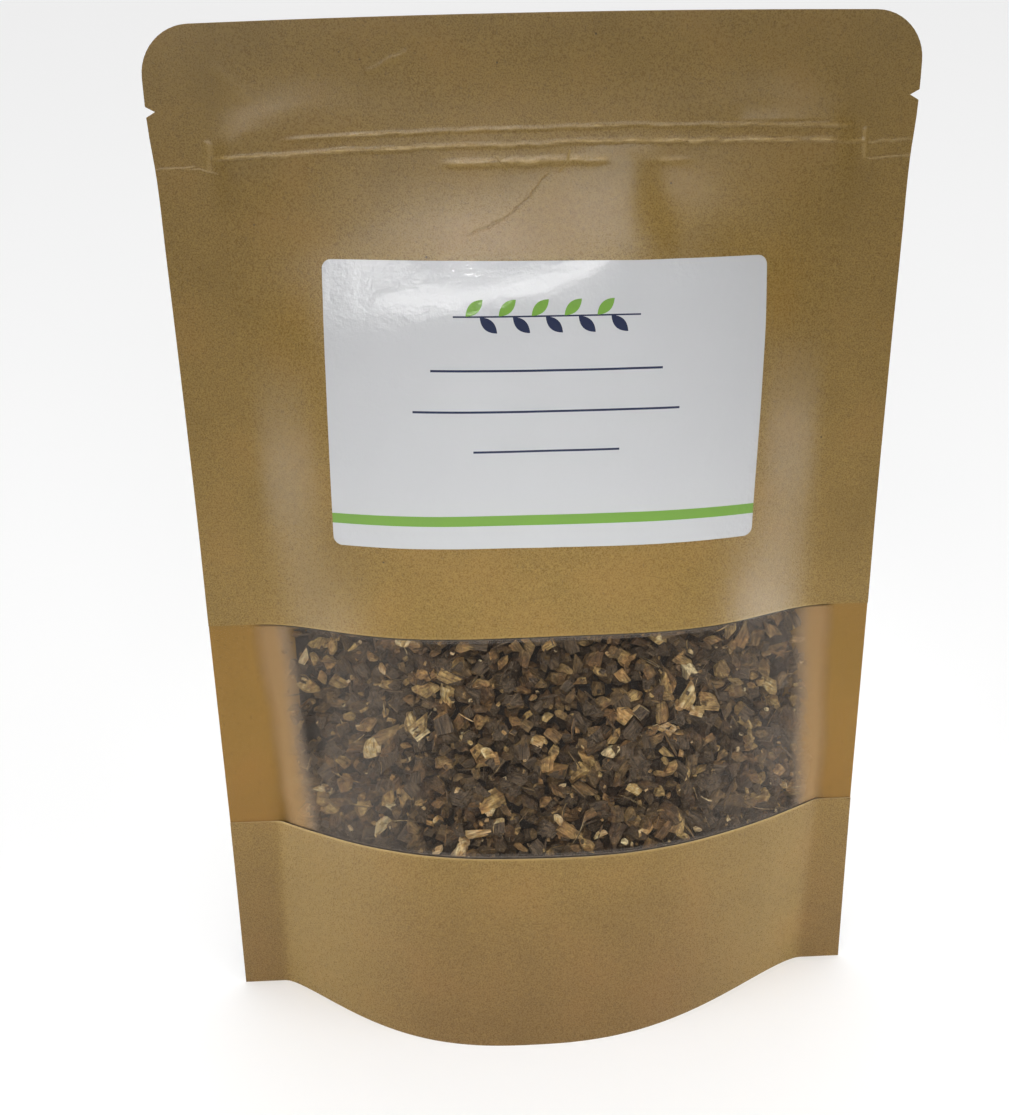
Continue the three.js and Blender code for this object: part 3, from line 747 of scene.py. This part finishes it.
# ---- Contents: cut chips ----
# The root is dried and cut across and along its grain to angular bits of 3 to 6 mm: blocks, flat
# slices, wedges and curls of bark, with splinters and crumbs. Every bit is a copy of one pattern.
draw = random.Random(11)
curl_thickness = 0.55
film_gap = 0.06  # between the film and the chips that lie against it
# The chips' field: its left and right limit at a height, and how both move to the right below it
field_left, field_right, field_height = -62.0, 63.5, 107.0
left_drift, right_drift, field_width = 0.04, 0.03, 130
row_share = 0.87  # the rows' distance in steps, which staggers the grid evenly


def chop(name, size, cuts, skin_share, net=1):
    """One chip: a roughened block whose corners are cut off along random planes."""
    deselect()
    bpy.ops.mesh.primitive_cube_add(size=1)
    chip = bpy.context.object
    chip.name = chip.data.name = name
    chip.scale = size
    bpy.ops.object.transform_apply(scale=True)
    bpy.ops.object.mode_set(mode="EDIT")
    bpy.ops.mesh.subdivide(number_cuts=net)
    bpy.ops.transform.vertex_random(offset=0.13 * min(size), seed=draw.randrange(1000), normal=0.2)
    for _ in range(cuts):
        bpy.ops.mesh.select_all(action="SELECT")
        normal = Vector([draw.uniform(-1, 1) for _ in range(3)]).normalized()
        reach = sum(abs(n) * s / 2 for n, s in zip(normal, size))
        spot = normal * reach * draw.uniform(0.36, 0.6)
        bpy.ops.mesh.bisect(plane_co=spot, plane_no=normal, use_fill=True, clear_outer=True)
    bpy.ops.mesh.select_all(action="SELECT")
    bpy.ops.mesh.normals_make_consistent(inside=False)
    bpy.ops.object.mode_set(mode="OBJECT")
    mark_faces(chip, skin_share)
    return chip


def bark_curl(name, radius, length, sweep):
    """A thin strip of bark, curled round the root's own radius as it dried."""
    deselect()
    bpy.ops.mesh.primitive_grid_add(x_subdivisions=7, y_subdivisions=3, size=1)
    curl = bpy.context.object
    curl.name = curl.data.name = name
    for vertex in curl.data.vertices:
        angle = vertex.co.x * sweep
        wave = 1 + 0.12 * draw.uniform(-1, 1)
        along = vertex.co.y * length * wave
        out = Vector((math.sin(angle) * radius, along, math.cos(angle) * radius))
        vertex.co = out * wave - Vector((0, 0, radius))
    wall = curl.modifiers.new("wall", "SOLIDIFY")
    wall.thickness = curl_thickness
    bpy.ops.object.modifier_apply(modifier=wall.name)
    mark_faces(curl, 0.2)
    return curl


def splinter(name, length, width, bend):
    """A long fibre torn off along the grain, or a hair root."""
    deselect()
    bpy.ops.mesh.primitive_cylinder_add(
        vertices=5, radius=width / 2, depth=length, rotation=(0, math.pi / 2, 0)
    )
    bit = bpy.context.object
    bit.name = bit.data.name = name
    bpy.ops.object.transform_apply(rotation=True)
    bpy.ops.object.mode_set(mode="EDIT")
    for x in steps_between(-length / 2, length / 2, length / 6):
        bpy.ops.mesh.select_all(action="SELECT")
        bpy.ops.mesh.bisect(plane_co=(x, 0, 0), plane_no=(1, 0, 0))
    bpy.ops.object.mode_set(mode="OBJECT")
    for vertex in bit.data.vertices:
        along = 2 * vertex.co.x / length
        taper = 1 - 0.5 * along * along
        vertex.co.y, vertex.co.z = vertex.co.y * taper, vertex.co.z * taper + bend * along * along
    mark_faces(bit, 0.6)
    return bit


blocks = [
    chop("block_a", (3.9, 3.0, 2.4), 5, 0.7, 2),
    chop("block_b", (3.2, 2.9, 2.5), 6, 2.0, 2),
    chop("block_c", (4.5, 2.7, 2.2), 5, 0.6, 2),
    chop("block_d", (3.0, 2.6, 2.1), 4, 2.0, 2),
    chop("block_e", (3.6, 3.3, 2.2), 6, 0.8, 2),
    chop("block_f", (4.1, 2.3, 1.9), 5, 2.0, 2),
]
slices = [
    chop("slice_a", (4.8, 3.4, 1.2), 4, 2.0, 2),
    chop("slice_b", (4.0, 3.1, 1.0), 5, 0.5, 2),
    chop("slice_c", (5.0, 2.2, 1.1), 4, 2.0, 2),
    chop("slice_d", (3.6, 2.6, 0.9), 4, 2.0, 2),
    chop("slice_e", (4.2, 2.9, 1.2), 5, 2.0, 2),
]
coarse = [chop("coarse_a", (4.2, 3.4, 2.8), 4, 0.7), chop("coarse_b", (3.6, 3.2, 3.0), 5, 2.0)]
curls = [bark_curl("curl_a", 2.8, 3.6, 1.9), bark_curl("curl_b", 2.0, 2.8, 2.3)]
splinters = [splinter("splinter_a", 6.0, 0.8, 0.5), splinter("splinter_b", 5.0, 0.6, -0.3)]
rootlets = [splinter("rootlet_a", 11.0, 0.4, 1.6), splinter("rootlet_b", 9.0, 0.35, -1.2)]
crumbs = [chop("crumb_a", (1.7, 1.3, 1.0), 3, 2.0), chop("crumb_b", (1.4, 1.2, 0.9), 3, 0.3)]
patterns = blocks + slices + coarse + curls + splinters + rootlets + crumbs


def place_bit(pattern, x, z, space, size, tone, lean):
    """A copy of the pattern, turned at random and pushed against the front as far as it goes."""
    spin = Matrix.Rotation(draw.uniform(0, 2 * math.pi), 4, "Y")
    tip = Matrix.Rotation(draw.uniform(-lean, lean), 4, "X")
    roll = Matrix.Rotation(draw.uniform(-lean, lean), 4, "Z")
    turn = spin @ tip @ roll @ Matrix.Rotation(math.pi / 2, 4, "X") @ Matrix.Scale(size, 4)
    points = [turn @ vertex.co for vertex in pattern.data.vertices]
    front = min(inner_face(x + p.x, z + p.z, -1) + p.y for p in points)
    behind = max(p.y - inner_face(x + p.x, z + p.z, 1) for p in points)
    if behind > front - 0.1:
        return []
    bit = pattern.copy()
    bit.data = pattern.data.copy()
    push = max(front - film_gap - space, behind)
    bit.data.transform(Matrix.Scale(MM, 4) @ Matrix.Translation((x, -push, z)) @ turn)
    shift = Vector([draw.uniform(0, 50) for _ in range(3)])
    for vertex in bit.data.attributes["grain"].data:
        vertex.vector += shift
    for face in bit.data.attributes["tone"].data:
        face.value = tone + draw.uniform(-0.07, 0.07)
    bpy.context.collection.objects.link(bit)
    return [bit]


def scatter(choices, step, spaces, sizes, tones, lean=0.5):
    """Copies over the window's area, and a little past it, on a jittered grid."""
    bits = []
    low, high = window_low - 5, window_high + 5
    rows = int((high - low) / (step * row_share))
    for row in range(rows + 1):
        for column in range(int(field_width / step) + 1):
            x = field_left + step / 2 * (row % 2) + column * step + draw.uniform(-0.4, 0.4) * step
            z = low + row * step * row_share + draw.uniform(-0.4, 0.4) * step
            drop = field_height - z
            if field_left + left_drift * drop < x < field_right + right_drift * drop:
                size = sizes[0] + (sizes[1] - sizes[0]) * draw.random() ** 1.6
                pattern, space = draw.choice(choices), draw.uniform(*spaces)
                bits += place_bit(pattern, x, z, space, size, tones(), lean)
    return bits


def mixed_tone():
    """Mostly brown, a good part tan, and a few pale chips."""
    pick = draw.random()
    if pick < 0.52:
        return draw.uniform(0.18, 0.48)
    return draw.uniform(0.48, 0.74) if pick < 0.93 else draw.uniform(0.76, 1.0)


# Painted shade: the chips behind the front layer, and deeper still, get darker tones.
def shaded_chip_tone():
    return draw.uniform(0.02, 0.42)


def deep_shaded_chip_tone():
    return draw.uniform(-0.1, 0.2)


def pale_tone():
    return draw.uniform(0.6, 1.1)


def join_bits(name, bits):
    deselect()
    for bit in bits:
        bit.select_set(True)
    bpy.context.view_layer.objects.active = bits[0]
    bpy.ops.object.join()
    heap = bpy.context.object
    heap.name = heap.data.name = name
    heap.data.materials.clear()
    heap.data.materials.append(root_wood)
    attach(heap, "root")
    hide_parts("cut_root")


shown = blocks + slices * 2 + curls
join_bits("chips_at_film", scatter(shown, 3.95, (0.0, 1.6), (0.7, 1.5), mixed_tone))
join_bits("chips_behind", scatter(blocks + coarse, 3.8, (1.6, 3.6), (0.8, 1.2), shaded_chip_tone, 1.6))
join_bits("chips_deep", scatter(coarse, 4.6, (3.6, 5.6), (0.9, 1.4), deep_shaded_chip_tone, 1.6))
small_bits = scatter(crumbs, 4.4, (0.0, 2.2), (0.5, 1.2), mixed_tone, 1.6)
small_bits += scatter(crumbs, 9.0, (0.0, 0.8), (0.4, 0.9), pale_tone, 1.6)
small_bits += scatter(splinters, 9.0, (0.0, 1.0), (0.6, 1.1), mixed_tone)
small_bits += scatter(rootlets, 19.0, (0.0, 0.6), (0.7, 1.1), pale_tone, 0.3)
join_bits("chips_small", small_bits)
for pattern in patterns:
    bpy.data.objects.remove(pattern)


# ---- Label ----
# A rectangle of white semi-gloss paper with rounded corners, stuck on by hand a little askew. It
# carries a plain sprig, ruled lines to write on and a green band, printed on its face.
label_low, label_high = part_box("label")
label_width, label_height, label_radius = 95.0, 63.5, 2.0
label_turn = -0.9
label_thickness = 0.12
leaf_count, leaf_pitch, leaf_half_length, leaf_half_width = 5, 7, 2.5, 1.15
label_middle_x = (label_low.x + label_high.x) / 2 / MM
label_middle_z = (label_low.z + label_high.z) / 2 / MM


def label_paper(name):
    finish, tree, shader, place = new_finish(name)
    flat = lay_node(tree, "ShaderNodeUVMap", uv_map="flat").outputs[0]
    sides = lay_node(tree, "ShaderNodeSeparateXYZ", {"Vector": flat})
    across, up = sides.outputs["X"], sides.outputs["Y"]

    def bar(middle_x, middle_y, width, height):
        inside_x = math_node(tree, "COMPARE", across, middle_x, width / 2)
        inside_y = math_node(tree, "COMPARE", up, middle_y, height / 2)
        return product(tree, inside_x, inside_y)

    def leaves(start, above, lean):
        """A row of pointed leaves in even steps, leaning away from the stem between the rows."""
        count = math_node(tree, "MULTIPLY_ADD", across, 1 / leaf_pitch, 0.5 - start / leaf_pitch)
        part = math_node(tree, "SUBTRACT", math_node(tree, "FRACT", count), 0.5)
        part = product(tree, part, leaf_pitch)
        rise = math_node(tree, "SUBTRACT", up, above)
        cosine, sine = math.cos(lean), math.sin(lean)
        along = math_node(tree, "ADD", product(tree, part, cosine), product(tree, rise, sine))
        over = math_node(tree, "SUBTRACT", product(tree, rise, cosine), product(tree, part, sine))
        narrowing = product(tree, along, along, leaf_half_width / leaf_half_length**2)
        reach = math_node(tree, "ADD", math_node(tree, "ABSOLUTE", over), narrowing)
        inside = math_node(tree, "LESS_THAN", reach, leaf_half_width)
        return product(tree, inside, bar(start, above, leaf_count * leaf_pitch, 5))

    green, navy = [0.15, 0.29, 0.05, 1], [0.022, 0.028, 0.06, 1]
    paper_grain = speckle(tree, place, 0.02)
    tone = tint(tree, paper_grain, [0.463, 0.467, 0.475, 1], [0.48, 0.484, 0.489, 1])
    tone = tint(tree, bar(0, 20.5, 40, 0.35), tone, navy)
    tone = tint(tree, leaves(-1.5, 22.3, 0.75), tone, green)
    tone = tint(tree, leaves(1.5, 18.7, -0.75), tone, navy)
    tone = tint(tree, bar(0, -25.2, label_width, 2.4), tone, green)
    for line_up, line_width in ((9.0, 50), (0.0, 58), (-9.0, 32)):
        tone = tint(tree, bar(0, line_up, line_width, 0.5), tone, navy)
    tree.links.new(tone, shader.inputs["Base Color"])
    shader.inputs["Roughness"].default_value = 0.085
    waves = speckle(tree, place, 0.0065, 3)
    peel = speckle(tree, place, 0.0016, 3, 0, 0.7)
    height = math_node(tree, "MULTIPLY_ADD", waves, 6.0, product(tree, peel, 2.4))
    wavy = {"Height": height, "Strength": 0.5, "Distance": 0.00009}
    bump = lay_node(tree, "ShaderNodeBump", wavy)
    tree.links.new(bump.outputs[0], shader.inputs["Normal"])
    return finish


deselect()
bpy.ops.mesh.primitive_plane_add(size=1, rotation=(math.pi / 2, 0, 0))
label = bpy.context.object
label.name = label.data.name = "paper_label"
label.scale = (label_width, label_height, 1)
bpy.ops.object.transform_apply(location=True, rotation=True, scale=True)
bpy.ops.object.mode_set(mode="EDIT")
bpy.ops.mesh.select_all(action="SELECT")
bpy.ops.mesh.bevel(offset=label_radius, segments=8, affect="VERTICES")
label_columns = steps_between(-label_width / 2, label_width / 2, 2.2)
label_rows = steps_between(-label_height / 2, label_height / 2, 2.2)
label_lines = [((x, 0, 0), (1, 0, 0)) for x in label_columns]
label_lines += [((0, 0, z), (0, 0, 1)) for z in label_rows]
for place, normal in label_lines:
    bpy.ops.mesh.select_all(action="SELECT")
    bpy.ops.mesh.bisect(plane_co=place, plane_no=normal)
bpy.ops.object.mode_set(mode="OBJECT")
for layer in list(label.data.uv_layers):
    label.data.uv_layers.remove(layer)
flat_map = label.data.uv_layers.new(name="flat")
for loop in label.data.loops:
    corner = label.data.vertices[loop.vertex_index].co
    flat_map.data[loop.index].uv = (corner.x, corner.z)
askew = Matrix.Rotation(math.radians(-label_turn), 4, "Y")
for vertex in label.data.vertices:
    spot = askew @ vertex.co + Vector((label_middle_x, 0, label_middle_z))
    lift = outer_face(spot.x, spot.z, -1) + label_thickness + 0.04
    vertex.co = Vector((spot.x, -lift, spot.z)) * MM
face_outwards(label, -1)
label_wall = label.modifiers.new("wall", "SOLIDIFY")
label_wall.thickness = label_thickness * MM
label_wall.offset = -1
bpy.ops.object.modifier_apply(modifier=label_wall.name)
bpy.ops.object.shade_smooth_by_angle(angle=math.radians(40))
label.data.materials.append(label_paper("label_paper"))
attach(label, "root")
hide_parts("label")


# ---- Floor, light and camera ----
# A plain pale floor under a white sky, one wide soft light from above and in front, a small
# bright one for the gloss of the label, two low ones at the sides, and a camera that looks
# down on the front.
deselect()
bpy.ops.mesh.primitive_plane_add(size=60)
floor = bpy.context.object
floor.name = "floor"
floor_finish, floor_tree, floor_shader, floor_place = new_finish("pale_floor")
# It looks white all over, but far from the object it throws back little light, as if it ended
floor_seen = lay_node(floor_tree, "ShaderNodeLightPath").outputs["Is Camera Ray"]
floor_far = lay_node(floor_tree, "ShaderNodeVectorMath", {0: floor_place}, operation="LENGTH")
floor_far = floor_far.outputs["Value"]
floor_tone = spread(floor_tree, floor_far, 0.25, 0.5, 0.78, 0.22)
floor_tone = spread(floor_tree, floor_seen, 0.0, 1.0, floor_tone, 0.97)
floor_tree.links.new(floor_tone, floor_shader.inputs["Base Color"])
floor_shader.inputs["Roughness"].default_value = 0.8
floor.data.materials.append(floor_finish)

scene = bpy.context.scene
scene.view_settings.view_transform = "Standard"
sky = bpy.data.worlds.new("white_sky")
sky.use_nodes = True
sky_tree = sky.node_tree
sky_shader = sky_tree.nodes["Background"]
sky_shader.inputs["Color"].default_value = (1, 1, 1, 1)
sky_place = lay_node(sky_tree, "ShaderNodeTexCoord").outputs["Generated"]
sky_up = lay_node(sky_tree, "ShaderNodeSeparateXYZ", {"Vector": sky_place}).outputs["Z"]
sky_up = math_node(sky_tree, "POWER", math_node(sky_tree, "MAXIMUM", sky_up, 0.0), 6.0)
sky_glow = product(sky_tree, sky_up, 3.75)
seen = lay_node(sky_tree, "ShaderNodeLightPath").outputs["Is Camera Ray"]
sky_glow = spread(sky_tree, seen, 0.0, 1.0, sky_glow, 1.0)
sky_tree.links.new(sky_glow, sky_shader.inputs["Strength"])
scene.world = sky


def soft_light(name, place, target, size, power, spread_angle=180):
    light = bpy.data.objects.new(name, bpy.data.lights.new(name, "AREA"))
    light.data.shape = "RECTANGLE"
    light.data.size, light.data.size_y = size
    light.data.energy = power
    light.data.spread = math.radians(spread_angle)
    light.location = place
    aim = Vector(target) - Vector(place)
    light.rotation_euler = aim.to_track_quat("-Z", "Y").to_euler()
    bpy.context.collection.objects.link(light)
    light.visible_camera = False
    return light


soft_light("window_light", (-0.12, -1.6, 0.62), (0, 0, 0.185), (1.3, 0.26), 10.3)
soft_light("key_light", (-0.14, -0.98, 0.86), (0, 0, 0.11), (0.1, 0.1), 0.034, 10.5)
soft_light("left_light", (-0.3, -0.14, 0.03), (-0.05, 0, 0.03), (0.14, 0.05), 0.053, 60)
soft_light("right_light", (0.3, -0.12, 0.03), (0.05, 0, 0.03), (0.14, 0.05), 0.06, 60)

camera = bpy.data.objects.new("camera", bpy.data.cameras.new("camera"))
bpy.context.collection.objects.link(camera)
camera.location = Vector((-21.6, -321.9, 247.9)) * MM
yaw, pitch, roll = (math.radians(angle) for angle in (2.36, 22.23, -1.10))
ahead = Vector((math.sin(yaw) * math.cos(pitch), math.cos(yaw) * math.cos(pitch), -math.sin(pitch)))
level = Vector((math.cos(yaw), -math.sin(yaw), 0))
upward = level.cross(ahead)
right = level * math.cos(roll) + upward * math.sin(roll)
top = upward * math.cos(roll) - level * math.sin(roll)
camera.rotation_euler = Matrix((right, top, -ahead)).transposed().to_euler()
focal_pixels, picture_height = 1500, 1115
camera.data.sensor_width = 36
camera.data.lens = camera.data.sensor_width * focal_pixels / picture_height
camera.data.clip_start, camera.data.clip_end = 0.01, 100
scene.camera = camera
